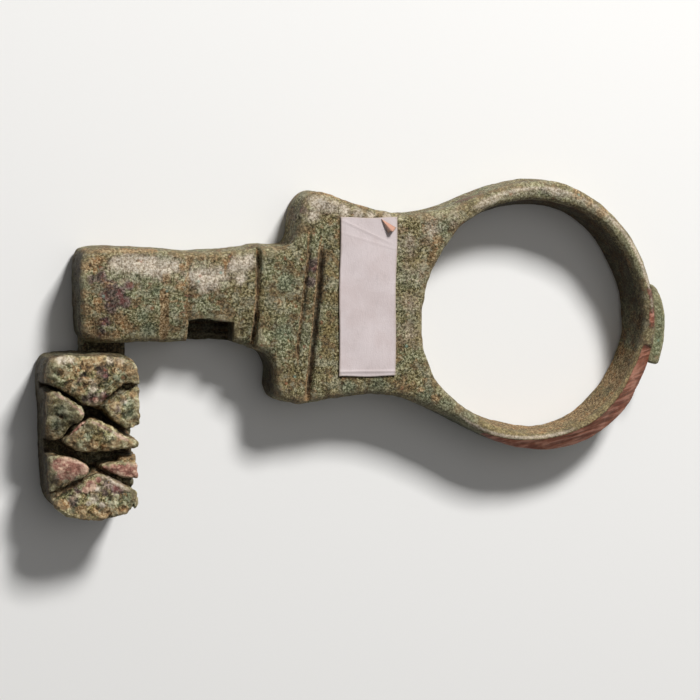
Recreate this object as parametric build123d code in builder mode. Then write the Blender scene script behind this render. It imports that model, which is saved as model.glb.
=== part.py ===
from build123d import *
import os
from math import cos, radians, sin

# A Roman bronze slide key with a ring for a handle, and the paper label stuck on it.
# Millimetres, +Z up. The key lies on its flat back, with its toothed face up. The origin is the
# centre of the ring's hole, on the plane that the key lies on. +X runs along the key, from the
# bit to the ring, and the bit stands out to -Y.

# The whole key
key_height = 6.0  # from the back to the face, on the ring, the plate and the shank
edge_round = 1.0  # the worn outer edge of the face
back_bevel = 0.4  # the outer edge of the ring's back
seam = 0.03  # between pieces whose curved or upright faces meet

# The ring
bore_radius = 11.7
ring_wall = 2.0
bore_bevel = 0.5  # the worn edge of the hole, on the face only
upper_joint_angle = 108.0  # where the ring leaves the plate's arms, in degrees from +X
lower_joint_angle = 246.0
filed_start_angle = 252.0  # the flat filed along the ring's outer edge, as far as the lug
filed_end_angle = 345.0
filed_reach = 1.3  # how far the flat comes in over the face
filed_drop = 1.1  # how far it goes down the outer wall
file_overrun = 1.0  # how far the file runs out past the ring

# The lug on the ring's far side
lug_start_angle = -20.0  # its blunt lower end
lug_end_angle = 12.0  # its upper end, thinned into the ring
lug_blunt_thickness = 1.0
lug_middle_thickness = 1.2
lug_tip_thickness = 0.35
lug_base = 0.8  # above the back
lug_height = 4.2
lug_edge_round = 0.3

# The plate between the ring and the shank, as (distance beyond the ring's near side, y)
upper_waist_place = (-0.9, 10.5)  # where the plate is narrowest, beside the ring
lower_waist_place = (3.7, -7.1)
upper_shoulder_place = (6.3, 12.2)  # where the plate's long edges run straight to its corners
lower_shoulder_place = (8.8, -7.75)
upper_corner_place = (11.1, 13.0)  # the corners before they are rounded
lower_corner_place = (12.9, -8.2)
upper_corner_extra = 1.2  # how much rounder than the worn edge each corner is
lower_corner_extra = 0.4

# The two lines scored across the plate: each one's ends, as (distance in from the left edge, y)
score_width = 0.7
score_depth = 0.35
score_taper = 30.0  # degrees
left_score_ends = ((2.3, 8.6), (1.9, -2.6))
right_score_ends = ((3.8, 10.6), (3.0, -7.6))

# The shank
shank_length = 17.4  # from its free end to the line incised across its root
shank_top_y = 7.5
shank_bottom_y = -1.8
shank_crown = 0.9  # how far its rounded face falls to its long edges
shank_edge_round = 0.5
shank_end_corner = 1.1  # the corners of its free end
root_corner = 0.6  # the inner corner between the shank's root and the plate, above
root_sweep = 1.7  # the same, below
root_drop = 0.85  # how far the root is deeper than the shank, below
root_land = 0.2  # between the sweep and the incised line
incised_depth = 0.3

# The neck of the shank, and the notch sawn into its lower side
neck_distance = 2.1  # from the incised line
neck_length = 4.8
neck_relief = 0.3  # how far the neck is set back on its upper side
notch_depth = 2.3
notch_floor = 2.0  # above the back

# The bit, a block with teeth sawn into its face
bit_length = 9.1  # along the key
bit_width = 15.9  # away from the shank
bit_height = 7.0
bit_shift = 3.6  # how far the bit stands out beyond the shank's end
bit_distance = 0.8  # the slot between the shank and the bit
bit_corner = 1.2
bit_edge_round = 0.6
bit_back_bevel = 0.3
kerf_narrowing = 0.5  # the width of a saw cut's floor, as a share of its mouth
kerf_overrun = 1.0  # how far a saw runs out past the bit's side
tooth_wear = 0.25  # the bevel worn along each tooth's edges
saw_out = bit_length / 2 + kerf_overrun
# Each saw cut's start and end, as (x, y) from the middle of the bit's face, its mouth and its depth
saw_cuts = (
    ((-saw_out, 5.9), (saw_out, -0.1), 1.1, 3.6),
    ((0.4, 3.2), (saw_out, 6.35), 0.8, 1.7),
    ((-0.9, 1.9), (-saw_out, -2.7), 0.45, 2.8),
    ((-saw_out, -0.9), (saw_out, -2.3), 1.0, 3.2),
    ((-0.9, -2.0), (saw_out, -5.7), 0.8, 2.4),
    ((-0.6, -3.3), (-saw_out, -6.9), 0.8, 2.4),
)

# The arm under the shank's end, which carries the bit
arm_width = 4.4
arm_height = 2.2
arm_inset = 0.6  # from the shank's end
arm_reach_shank = 7.0  # how far it runs under the shank
arm_reach_bit = 5.6  # how far it runs under the bit

# The paper label on the plate, and the curled chip of paper on its upper end
label_width = 5.65
label_length = 15.6
label_thickness = 0.15
label_place = (3.35, 2.4)  # its middle, as (distance beyond the ring's near side, y)
label_turn = -0.6  # degrees
chip_width = 1.6
chip_length = 1.5
chip_thickness = 0.12
chip_rise = 0.45
chip_inset = 1.0  # from the label's right and upper edges
chip_turn = 40.0

ring_outer_radius = bore_radius + ring_wall
ring_near_x = -ring_outer_radius


def polar(radius, angle):
    """The point at this radius and angle about the ring's centre."""
    return (radius * cos(radians(angle)), radius * sin(radians(angle)))


def along_ring(angle):
    """The direction in which the ring runs at this angle, anticlockwise."""
    return (-sin(radians(angle)), cos(radians(angle)))


def radial_plane(angle):
    """The upright plane through the ring's axis at this angle."""
    facing = (sin(radians(angle)), -cos(radians(angle)), 0)
    return Plane(origin=(0, 0, 0), x_dir=(*polar(1, angle), 0), z_dir=facing)


def beyond_ring(place):
    """The point at a distance beyond the ring's near side, and at a height on the face."""
    distance, y = place
    return (ring_near_x - distance, y)


def corner_at(corners, point):
    """The one of these corners that lies at this point."""
    return corners.sort_by_distance((point[0], point[1], 0))[0]


def run_between(start, end, height):
    """A plane at this height, midway between two points with x along the run, and its length."""
    run = Vector(*end) - Vector(*start)
    middle = (Vector(*start) + Vector(*end)) * 0.5
    plane = Plane(origin=(middle.X, middle.Y, height), x_dir=(run.X, run.Y, 0), z_dir=(0, 0, 1))
    return plane, run.length


# Ring: a band with a flat inner wall and a worn outer edge, open where the plate's arms close it,
# with a slanted flat filed along its lower outer edge
with BuildPart() as bow_ring:
    with BuildSketch(radial_plane(lower_joint_angle)) as band_section:
        with Locations((bore_radius + ring_wall / 2, key_height / 2)):
            Rectangle(ring_wall, key_height)
        fillet(corner_at(band_section.vertices(), (ring_outer_radius, key_height)), edge_round)
        chamfer(corner_at(band_section.vertices(), (bore_radius, key_height)), bore_bevel)
        chamfer(corner_at(band_section.vertices(), (ring_outer_radius, 0)), back_bevel)
    revolve(axis=Axis.Z, revolution_arc=360.0 - (lower_joint_angle - upper_joint_angle))
    with BuildSketch(radial_plane(filed_start_angle)):
        with BuildLine():
            Polyline(
                (ring_outer_radius - filed_reach, key_height + file_overrun),
                (ring_outer_radius - filed_reach, key_height),
                (ring_outer_radius, key_height - filed_drop),
                (ring_outer_radius + file_overrun, key_height - filed_drop),
                (ring_outer_radius + file_overrun, key_height + file_overrun),
                close=True,
            )
        make_face()
    revolve(axis=Axis.Z, revolution_arc=filed_end_angle - filed_start_angle, mode=Mode.SUBTRACT)
bow_ring.part.label = "bow_ring"

# Lug: a lens of bronze soldered along the ring's far side, blunt below and thinned out above
lug_inner_radius = ring_outer_radius + seam
with BuildPart() as ring_lug:
    with BuildSketch(Plane.XY.offset(lug_base)):
        with BuildLine():
            blunt_end = Line(
                polar(lug_inner_radius, lug_start_angle),
                polar(lug_inner_radius + lug_blunt_thickness, lug_start_angle),
            )
            back_curve = ThreePointArc(
                blunt_end @ 1,
                polar(lug_inner_radius + lug_middle_thickness, (lug_start_angle + lug_end_angle) / 2),
                polar(lug_inner_radius + lug_tip_thickness, lug_end_angle),
            )
            Line(back_curve @ 1, polar(lug_inner_radius, lug_end_angle))
            CenterArc((0, 0), lug_inner_radius, lug_start_angle, lug_end_angle - lug_start_angle)
        make_face()
    extrude(amount=lug_height)
    lug_arcs = ring_lug.edges().filter_by(GeomType.CIRCLE).sort_by(SortBy.RADIUS)
    fillet(lug_arcs[:2], lug_edge_round)
ring_lug.part.label = "ring_lug"

# Plate: flares into two arms that carry the ring, and ends in the shank's root
upper_waist = beyond_ring(upper_waist_place)
lower_waist = beyond_ring(lower_waist_place)
upper_shoulder = beyond_ring(upper_shoulder_place)
lower_shoulder = beyond_ring(lower_shoulder_place)
upper_corner = beyond_ring(upper_corner_place)
lower_corner = beyond_ring(lower_corner_place)


def plate_left_x(y):
    """Where the plate's slanted left edge is, at this height on the face."""
    share = (y - lower_corner[1]) / (upper_corner[1] - lower_corner[1])
    return lower_corner[0] + share * (upper_corner[0] - lower_corner[0])


root_bottom_y = shank_bottom_y - root_drop
upper_root = (plate_left_x(shank_top_y), shank_top_y)
lower_root = (plate_left_x(root_bottom_y), root_bottom_y)
shank_joint_x = lower_root[0] - 1.1 * root_sweep - root_land
shank_joint_middle = (shank_joint_x, (shank_top_y + root_bottom_y) / 2, key_height)
joint_middles = [
    (*polar(bore_radius + ring_wall / 2, upper_joint_angle), key_height),
    (*polar(bore_radius + ring_wall / 2, lower_joint_angle), key_height),
    shank_joint_middle,
]
with BuildPart() as bow_plate:
    with BuildSketch():
        with BuildLine():
            upper_left = FilletPolyline(
                upper_shoulder,
                upper_corner,
                upper_root,
                (shank_joint_x, shank_top_y),
                radius=[edge_round + upper_corner_extra, root_corner],
            )
            lower_left = FilletPolyline(
                (shank_joint_x, root_bottom_y),
                lower_root,
                lower_corner,
                lower_shoulder,
                radius=[root_sweep, edge_round + lower_corner_extra],
            )
            Line(upper_left @ 1, lower_left @ 0)
            Spline(
                polar(ring_outer_radius, upper_joint_angle),
                upper_waist,
                upper_shoulder,
                tangents=[along_ring(upper_joint_angle), Vector(*upper_corner) - Vector(*upper_shoulder)],
            )
            Spline(
                lower_shoulder,
                lower_waist,
                polar(ring_outer_radius, lower_joint_angle),
                tangents=[Vector(*lower_shoulder) - Vector(*lower_corner), along_ring(lower_joint_angle)],
            )
            Line(polar(ring_outer_radius, lower_joint_angle), polar(bore_radius, lower_joint_angle))
            CenterArc((0, 0), bore_radius, lower_joint_angle, upper_joint_angle - lower_joint_angle)
            Line(polar(bore_radius, upper_joint_angle), polar(ring_outer_radius, upper_joint_angle))
        make_face()
    extrude(amount=key_height)
    rim = bow_plate.faces().sort_by(Axis.Z)[-1].outer_wire().edges()
    joints = [rim.sort_by_distance(middle)[0] for middle in joint_middles]
    hole_edge = rim.filter_by(GeomType.CIRCLE).sort_by(SortBy.RADIUS)[-1]
    fillet([edge for edge in rim if edge != hole_edge and edge not in joints], edge_round)
    chamfer(bow_plate.edges().sort_by_distance((-bore_radius, 0, key_height))[0], bore_bevel)
    for ends in (left_score_ends, right_score_ends):
        start, end = ((plate_left_x(y) + distance, y) for distance, y in ends)
        score_plane, score_length = run_between(start, end, key_height)
        with BuildSketch(score_plane):
            Rectangle(score_length, score_width)
        extrude(amount=-score_depth, taper=score_taper, mode=Mode.SUBTRACT)
bow_plate.part.label = "bow_plate"

# Shank: a bar with a crowned face, a neck with a notch below it, and a seat for the bit's arm
shank_end_x = shank_joint_x - shank_length
neck_end_x = shank_joint_x - neck_distance
neck_middle_x = neck_end_x - neck_length / 2
bit_top_y = shank_bottom_y - bit_distance
arm_left_x = shank_end_x + arm_inset
arm_top_y = shank_bottom_y + arm_reach_shank
arm_bottom_y = bit_top_y - arm_reach_bit
arm_middle = (arm_left_x + arm_width / 2, (arm_top_y + arm_bottom_y) / 2)
with BuildPart() as shank:
    with BuildSketch(Plane.YZ.offset(shank_end_x)):
        with BuildLine():
            sides = Polyline(
                (shank_top_y, key_height - shank_crown),
                (shank_top_y, 0),
                (root_bottom_y, 0),
                (root_bottom_y, key_height - shank_crown),
            )
            ThreePointArc(sides @ 1, ((shank_top_y + root_bottom_y) / 2, key_height), sides @ 0)
        make_face()
    extrude(amount=shank_length)
    with BuildSketch():
        with BuildLine():
            Polyline(
                (shank_end_x, shank_top_y),
                (shank_joint_x, shank_top_y),
                (shank_joint_x, root_bottom_y),
                (neck_end_x, shank_bottom_y),
                (shank_end_x, shank_bottom_y),
                close=True,
            )
        make_face()
    extrude(amount=key_height, mode=Mode.INTERSECT)
    fillet(shank.edges().filter_by(Axis.Z).group_by(Axis.X)[0], shank_end_corner)
    crown_face = shank.faces().filter_by(GeomType.CYLINDER).sort_by(SortBy.AREA)[-1]
    root_edge = crown_face.edges().sort_by(Axis.X)[-1]
    fillet([edge for edge in crown_face.edges() if edge != root_edge], shank_edge_round)
    with BuildSketch(Plane.XY.offset(notch_floor)):
        with Locations((neck_middle_x, shank_bottom_y)):
            Rectangle(neck_length, 2 * notch_depth)
    extrude(amount=key_height, mode=Mode.SUBTRACT)
    with BuildSketch():
        with Locations((neck_middle_x, shank_top_y)):
            Rectangle(neck_length, 2 * neck_relief)
    extrude(amount=key_height, mode=Mode.SUBTRACT)
    chamfer(shank.edges().sort_by_distance(shank_joint_middle)[0], incised_depth)
    with BuildSketch():
        with Locations(arm_middle):
            Rectangle(arm_width + 2 * seam, arm_top_y - arm_bottom_y + 2 * seam)
    extrude(amount=arm_height + seam, mode=Mode.SUBTRACT)
shank.part.label = "shank"

# Arm: a bar let into the undersides of the shank and the bit, flush with the back
with BuildPart() as bit_arm:
    with BuildSketch():
        with Locations(arm_middle):
            Rectangle(arm_width, arm_top_y - arm_bottom_y)
    extrude(amount=arm_height)
bit_arm.part.label = "bit_arm"

# Bit: a block crossed by narrowing saw cuts, which leave its face as triangular teeth
bit_middle = (shank_end_x - bit_shift + bit_length / 2, bit_top_y - bit_width / 2)
with BuildPart() as bit_block:
    with BuildSketch():
        with Locations(bit_middle):
            RectangleRounded(bit_length, bit_width, bit_corner)
    extrude(amount=bit_height)
    fillet(bit_block.faces().sort_by(Axis.Z)[-1].edges(), bit_edge_round)
    chamfer(bit_block.faces().sort_by(Axis.Z)[0].edges(), bit_back_bevel)
    for start, end, mouth, depth in saw_cuts:
        run = Vector(*end) - Vector(*start)
        cut_start = Vector(*bit_middle, bit_height) + Vector(*start)
        floor = mouth * kerf_narrowing
        with BuildSketch(Plane(origin=cut_start, x_dir=(-run.Y, run.X, 0), z_dir=run)):
            with BuildLine():
                right_wall = Polyline(
                    (0, -depth),
                    (floor / 2, -depth),
                    (mouth / 2, -tooth_wear),
                    (mouth / 2 + tooth_wear, 0),
                    (mouth / 2 + tooth_wear, depth),
                    (0, depth),
                )
                mirror(right_wall, about=Plane.YZ)
            make_face()
        extrude(amount=run.length, mode=Mode.SUBTRACT)
    with BuildSketch():
        with Locations(arm_middle):
            Rectangle(arm_width + 2 * seam, arm_top_y - arm_bottom_y + 2 * seam)
    extrude(amount=arm_height + seam, mode=Mode.SUBTRACT)
bit_block.part.label = "bit_block"

# Label: a strip of paper stuck flat on the plate's face
label_middle = beyond_ring(label_place)
label_plane = Plane(origin=(*label_middle, key_height), x_dir=(*polar(1, label_turn), 0), z_dir=(0, 0, 1))
with BuildPart() as paper_label:
    with BuildSketch(label_plane):
        Rectangle(label_width, label_length)
    extrude(amount=label_thickness)
paper_label.part.label = "paper_label"

# Chip: a scrap of paper curled up on the label's upper end
chip_spot = label_plane.from_local_coords(
    (label_width / 2 - chip_inset, label_length / 2 - chip_inset, label_thickness)
)
chip_facing = (sin(radians(chip_turn)), -cos(radians(chip_turn)), 0)
with BuildPart() as label_chip:
    with BuildSketch(Plane(origin=chip_spot, x_dir=(*polar(1, chip_turn), 0), z_dir=chip_facing)):
        with BuildLine():
            outside = ThreePointArc((-chip_width / 2, 0), (0, chip_rise), (chip_width / 2, 0))
            inside = ThreePointArc(
                (-chip_width / 2 + chip_thickness, 0),
                (0, chip_rise - chip_thickness),
                (chip_width / 2 - chip_thickness, 0),
            )
            Line(outside @ 0, inside @ 0)
            Line(outside @ 1, inside @ 1)
        make_face()
    extrude(amount=chip_length / 2, both=True)
label_chip.part.label = "label_chip"

os.makedirs("parts", exist_ok=True)
for piece in (bow_ring, ring_lug, bow_plate, shank, bit_arm, bit_block, paper_label, label_chip):
    export_step(piece.part, f"parts/{piece.part.label}.step")
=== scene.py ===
import math

import bmesh
import bpy
import numpy as np
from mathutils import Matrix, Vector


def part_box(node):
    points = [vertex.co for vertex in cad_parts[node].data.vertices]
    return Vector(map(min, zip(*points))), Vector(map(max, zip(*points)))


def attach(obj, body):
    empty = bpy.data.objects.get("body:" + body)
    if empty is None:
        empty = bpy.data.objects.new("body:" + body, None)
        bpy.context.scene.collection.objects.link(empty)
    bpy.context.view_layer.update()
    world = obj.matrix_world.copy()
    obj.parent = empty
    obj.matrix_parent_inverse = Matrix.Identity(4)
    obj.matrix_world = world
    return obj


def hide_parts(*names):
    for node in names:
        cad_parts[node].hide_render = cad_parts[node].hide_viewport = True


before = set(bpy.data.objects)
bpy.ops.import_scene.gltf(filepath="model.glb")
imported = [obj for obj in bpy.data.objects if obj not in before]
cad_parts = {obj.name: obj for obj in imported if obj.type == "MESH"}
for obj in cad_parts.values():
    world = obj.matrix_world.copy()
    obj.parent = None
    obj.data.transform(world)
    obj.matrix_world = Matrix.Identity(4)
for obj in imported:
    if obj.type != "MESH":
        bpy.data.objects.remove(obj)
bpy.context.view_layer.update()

import openvdb
from mathutils import Matrix, Vector

# Bronze slide key, worn and corroded. Shapes are worked out in millimetres, in the CAD's frame, as
# distances to a surface on a grid of points. The surface is then drawn out as a mesh in metres.
MM = 0.001
BODY_STEP = 0.15
BIT_STEP = 0.10
LUG_STEP = 0.09
DETAIL_BAND = 0.7  # how far from the surface the corrosion is worked out
NOISE_LOW = np.array((-52.0, -22.0, -2.0))  # the corners of the space that the noise fills
NOISE_HIGH = np.array((17.0, 17.0, 9.0))

KEY_HEIGHT = 6.0
SEAT = 0.0  # the plane that the key lies on
HOLE_RADIUS = 11.7
NOTCH_FLOOR = 2.0
# The ring isn't round: the radius of its outer wall, of the hole on the face and of the hole at the
# back, each by the angle from +X
OUTER_RADII = [
    (0, 13.1), (12, 12.95), (20, 12.85), (30, 12.95), (40, 13.1), (50, 13.25), (60, 13.45), (70, 13.6),
    (80, 13.75), (90, 13.65), (100, 13.45), (115, 13.25), (180, 13.0), (240, 12.55), (252, 12.75),
    (260, 12.95), (270, 13.2), (280, 13.55), (290, 13.78), (300, 13.9), (310, 13.88), (320, 13.88),
    (330, 13.5), (340, 13.35), (350, 13.15),
]
FACE_HOLE_RADII = [
    (0, 11.6), (60, 11.75), (110, 11.75), (128, 11.8), (144, 11.5), (160, 11.5), (170, 11.35), (184, 11.45),
    (194, 11.55), (210, 11.6), (224, 11.3), (240, 11.2), (256, 11.35), (270, 11.6), (300, 11.75),
    (330, 11.6),
]
BACK_HOLE_RADII = [
    (0, 11.05), (30, 10.8), (48, 11.1), (67, 11.3), (90, 11.0), (120, 10.9), (240, 10.8), (262, 10.9),
    (272, 11.2), (282, 11.55), (292, 11.6), (302, 11.55), (312, 11.35), (330, 11.25), (350, 11.3),
]
FILED_RADII = [(240, 12.4), (270, 12.15), (285, 12.2), (300, 12.3), (315, 12.1), (330, 11.85), (350, 11.95)]
SHANK_JOINT_X = -28.25
UPPER_JOINT = 108.0
LOWER_JOINT = 246.0
LABEL_MIDDLE = (-17.1, 2.4)
LABEL_HALF = (2.87, 7.82)
LABEL_TURN = math.radians(-0.6)

# Distances and blends


def distance_to_run(x, y, run):
    """Distance in plan from these places to an open run of points."""
    best = np.inf
    for (ax, ay), (bx, by) in zip(run, run[1:]):
        ex, ey = bx - ax, by - ay
        wx, wy = x - ax, y - ay
        t = np.clip((wx * ex + wy * ey) / (ex * ex + ey * ey), 0, 1)
        best = np.minimum(best, (wx - ex * t) ** 2 + (wy - ey * t) ** 2)
    return np.sqrt(best)


def rounded(points, rounds):
    """A loop with its corners cut back again and again."""
    for _ in range(rounds):
        cut = []
        for (ax, ay), (bx, by) in zip(points, points[1:] + points[:1]):
            cut.append((ax * 0.75 + bx * 0.25, ay * 0.75 + by * 0.25))
            cut.append((ax * 0.25 + bx * 0.75, ay * 0.25 + by * 0.75))
        points = cut
    return points


def rounded_edge(across, along, rounding):
    """The form inside both distances, the edge between them rounded."""
    across = across + rounding
    along = along + rounding
    outside = np.hypot(np.maximum(across, 0), np.maximum(along, 0))
    return np.minimum(np.maximum(across, along), 0) + outside - rounding


def join(a, b, blend):
    h = np.clip(0.5 + 0.5 * (b - a) / blend, 0, 1)
    return b + (a - b) * h - blend * h * (1 - h)


def keep_within(a, b, blend):
    return -join(-a, -b, blend)


def angle_at(x, y):
    """The angle from +X, from 0 to 360 degrees."""
    return np.degrees(np.arctan2(y, x)) % 360


def around(table, angle):
    """A radius at each of these angles, from a table of angles and radii."""
    at, radii = zip(*table)
    return np.interp(angle, at, radii, period=360).astype(np.float32)


def rise(low, high, value):
    """0 at low and 1 at high, smoothly."""
    t = np.clip((value - low) / (high - low), 0, 1)
    return t * t * (3 - 2 * t)


def fades(value, start, full, fading, gone):
    """0 up to start, 1 from full to fading, and 0 again past gone."""
    return rise(start, full, value) * (1 - rise(fading, gone, value))


def bell(value, width):
    return np.exp(-((value / width) ** 2))


class Field:
    """A block of grid points, and the distance of each to the surface, negative inside."""

    def __init__(self, low, high, step):
        self.low = np.array(low, dtype=np.float32)
        self.step = step
        counts = [int(math.ceil((b - a) / step)) + 1 for a, b in zip(low, high)]
        self.axes = [(low[i] + step * np.arange(counts[i])).astype(np.float32) for i in range(3)]
        self.x = self.axes[0][:, None]
        self.y = self.axes[1][None, :]
        self.z = self.axes[2][None, None, :]
        self.plan_shape = tuple(counts[:2])
        self.d = None

    def flat(self, values):
        """A value for each (x, y), ready to be set against the heights."""
        return np.broadcast_to(values, self.plan_shape)[:, :, None]

    def run(self, points):
        """Distance in plan to an open run of points."""
        return distance_to_run(self.x, self.y, points)

    def loop(self, points):
        """Distance in plan to a closed loop of points, negative inside it."""
        inside = np.zeros(self.plan_shape, dtype=bool)
        for (ax, ay), (bx, by) in zip(points, points[1:] + points[:1]):
            if ay != by:
                crosses = (self.y >= min(ay, by)) & (self.y < max(ay, by))
                inside ^= crosses & (self.x < ax + (self.y - ay) * (bx - ax) / (by - ay))
        distance = self.run(points + points[:1])
        return np.where(inside, -distance, distance).astype(np.float32)

    def prism(self, plan, top, bottom=SEAT, round_top=0.5, round_bottom=0.4):
        """An upright form on this plan, its upper and lower edges rounded."""
        top = self.flat(top)
        upper = self.z > (top + bottom) / 2
        rounding = np.where(upper, round_top, round_bottom).astype(np.float32)
        return rounded_edge(self.flat(plan), np.maximum(self.z - top, bottom - self.z), rounding)


def corners(share):
    """The corners of a cell, each with its weight at places that lie this far across the cell."""
    for corner in np.ndindex(2, 2, 2):
        weight = 1
        for axis, far in enumerate(corner):
            weight = weight * (share[:, axis] if far else 1 - share[:, axis])
        yield corner, weight


class Noise:
    """Smooth random values in space, from random slopes on a lattice."""

    def __init__(self, size, seed):
        draw = np.random.default_rng(seed)
        self.size = size
        counts = [int(reach / size) + 3 for reach in NOISE_HIGH - NOISE_LOW]
        slopes = draw.normal(size=(*counts, 3))
        self.slopes = (slopes / np.linalg.norm(slopes, axis=-1, keepdims=True)).astype(np.float32)

    def __call__(self, places):
        q = (places - NOISE_LOW) / self.size
        cell = np.floor(q).astype(int)
        f = (q - cell).astype(np.float32)
        total = np.zeros(len(places), dtype=np.float32)
        for corner, weight in corners(f * f * f * (f * (f * 6 - 15) + 10)):
            slopes = self.slopes[tuple((cell + corner).T)]
            total += weight * (slopes * (f - np.array(corner, dtype=np.float32))).sum(axis=1)
        return total * 1.6


swell = Noise(5.5, 11)
lumps = Noise(1.9, 12)
pits = Noise(0.85, 13)
grain = Noise(0.42, 14)
ragged = Noise(1.2, 15)


def corrode(field, strength, fine=1.0):
    """Works the corroded surface into the field, near the surface. strength is by (x, y, z)."""
    near = np.nonzero(np.abs(field.d) < DETAIL_BAND)
    places = np.stack([field.axes[i][near[i]] for i in range(3)], axis=1).astype(np.float32)
    small = 0.055 * pits(places) + 0.035 * grain(places)
    relief = 0.10 * swell(places) + 0.09 * lumps(places) + fine * small
    relief += 0.10 * rise(0.28, 0.6, ragged(places)) * rise(0.0, 0.3, pits(places))
    field.d[near] += strength(places) * relief
    field.d = np.maximum(field.d, SEAT - field.z)


def evenly(strength):
    return lambda places: np.full(len(places), strength, dtype=np.float32)


def sample(field, values, points):
    """These grid values at these points."""
    q = (points - field.low) / field.step
    cell = np.clip(np.floor(q).astype(int), 0, np.array(values.shape) - 2)
    return sum(weight * values[tuple((cell + corner).T)] for corner, weight in corners(q - cell))


def blurred(values, reach):
    """A box blur along each axis."""
    for axis in range(3):
        sums = np.cumsum(values, axis=axis, dtype=np.float64)
        last = values.shape[axis] - 1
        high = np.clip(np.arange(last + 1) + reach, 0, last)
        low = np.clip(np.arange(last + 1) - reach - 1, 0, last)
        window = np.take(sums, high, axis) - np.take(sums, low, axis)
        values = (window / (2 * reach + 1)).astype(np.float32)
    return values


def hollowness(field, points, reach_mm):
    """Above 0 in hollows and below 0 on edges, in mm."""
    d = np.clip(field.d, -3 * reach_mm, 3 * reach_mm)
    reach = max(1, round(reach_mm / field.step))
    return sample(field, d, points) - sample(field, blurred(blurred(d, reach), reach), points)


# The ring, the plate and the shank: one surface, parted afterwards

body = Field((-46.6, -14.6, -0.9), (14.8, 14.6, 7.0), BODY_STEP)
from_centre = np.hypot(body.x, body.y)
angle = angle_at(body.x, body.y)

plate_loop = rounded([
    (-25.0, 7.4), (-24.25, 7.9), (-24.0, 9.8), (-23.75, 11.3), (-23.1, 12.35), (-22.0, 12.8),
    (-20.8, 12.55), (-19.4, 11.95), (-16.4, 10.9), (-13.3, 10.35), (-10.6, 10.5), (-8.1, 11.2),
    (-5.2, 12.35), (-2.0, 13.1), (3.0, 8.0), (3.0, -8.0), (-1.5, -12.2), (-4.6, -11.6), (-7.2, -10.35),
    (-10.6, -8.75), (-13.6, -7.55), (-16.7, -7.15), (-19.8, -7.55), (-22.8, -8.05), (-24.8, -8.1),
    (-26.0, -7.6), (-26.45, -6.4), (-26.3, -4.8), (-26.6, -3.7), (-27.4, -2.85), (-28.9, -2.3),
    (-28.9, 7.25), (-26.6, 7.45),
], 2)
shank_loop = rounded([
    (-45.5, 0.0), (-45.5, 5.6), (-45.3, 6.9), (-44.3, 7.45), (-42.0, 7.45), (-38.5, 7.4), (-36.5, 7.2),
    (-34.2, 6.9), (-31.5, 7.0), (-29.0, 7.25), (-25.6, 7.45), (-25.6, -1.5), (-26.7, -2.9), (-28.2, -2.4),
    (-30.2, -1.9), (-34.0, -1.7), (-39.7, -1.7), (-43.4, -1.75), (-45.1, -1.5),
], 2)
notch_loop = [(-34.95, 0.35), (-33.0, 0.5), (-30.4, 0.2), (-30.4, -4.0), (-35.05, -4.0)]

body_plan = join(body.loop(plate_loop), from_centre - around(OUTER_RADII, angle), 0.4)
# The face falls away a little towards the plate's upper edge
body_top = KEY_HEIGHT - 0.35 * rise(9.5, 13.0, body.y) * rise(-13, -20, body.x)
face = body.prism(body_plan, body_top, round_top=0.95, round_bottom=0.45)

# The shank's face is crowned, and drops towards its free end
shank_middle_y = 2.85
shank_half_width = 4.7
crown = 1.15 * np.abs((body.y - shank_middle_y) / shank_half_width) ** 2.0
shank_top = KEY_HEIGHT + 0.1 - crown - 0.25 * rise(-42.5, -45.6, body.x)
shank_form = body.prism(body.loop(shank_loop), shank_top, round_top=0.55, round_bottom=0.4)
body.d = join(face, shank_form, 0.5)

# The hole, narrower at the back, its edge worn
face_hole = body.flat(around(FACE_HOLE_RADII, angle))
back_hole = body.flat(around(BACK_HOLE_RADII, angle))
hole = back_hole + (face_hole - back_hole) * np.clip(body.z / 5.0, 0, 1) - body.flat(from_centre)
body.d = keep_within(body.d, hole, 0.8)

# The notch sawn into the neck, with a rough floor
above_all = np.float32(12.0)
notch = body.prism(body.loop(notch_loop), above_all, bottom=NOTCH_FLOOR, round_top=0.1, round_bottom=0.2)
notch = notch + 0.12 * body.flat(np.sin(body.y * 9.0 + 0.4 * body.x)) * (body.z < NOTCH_FLOOR + 0.6)
body.d = keep_within(body.d, -notch, 0.14)

# The lines cut across the plate and the shank, each as its points
LEFT_LINE = [(-22.95, 8.9), (-23.05, 6.5), (-23.5, 2.8), (-23.85, -0.5), (-24.1, -2.6), (-24.15, -5.0)]
RIGHT_LINE = [(-21.45, 8.4), (-21.67, 7.2), (-22.0, 3.4), (-22.33, -0.3), (-22.73, -4.0), (-23.12, -7.6)]
ROOT_LINE = [(-28.0, 7.3), (-28.1, 4.5), (-28.25, 1.5), (-28.45, -1.2), (-28.65, -2.8)]
SHANK_LINE = [(-37.46, 3.1), (-37.42, 1.0), (-37.38, -1.9)]
FAINT_LINES = [
    [(-34.9, 7.0), (-35.0, 4.6), (-35.2, 2.6), (-35.2, 0.4)],
    [(-30.6, 6.9), (-31.2, 5.8), (-31.45, 4.7)],
]


def cut_groove(points, depth, width, top):
    """Cuts a worn V-shaped line: top is the face's height there, by (x, y)."""
    distance = body.run(points)
    floor = body.flat(top - depth * np.clip(1 - distance / (width / 2), 0, 1))
    body.d = keep_within(body.d, -np.maximum(floor - body.z, body.flat(distance - width / 2)), 0.14)


left_depth = 0.45 * rise(9.4, 7.4, body.y) * rise(-5.4, -2.6, body.y)
cut_groove(LEFT_LINE, left_depth, 0.5, KEY_HEIGHT)
cut_groove(RIGHT_LINE, 0.75 * rise(8.8, 6.0, body.y), 0.75, KEY_HEIGHT)
cut_groove(ROOT_LINE, 0.5, 0.5, np.maximum(shank_top, KEY_HEIGHT - 0.9))
cut_groove(SHANK_LINE, 0.25, 0.8, shank_top)
for line in FAINT_LINES:
    cut_groove(line, 0.2, 0.45, shank_top)

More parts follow.
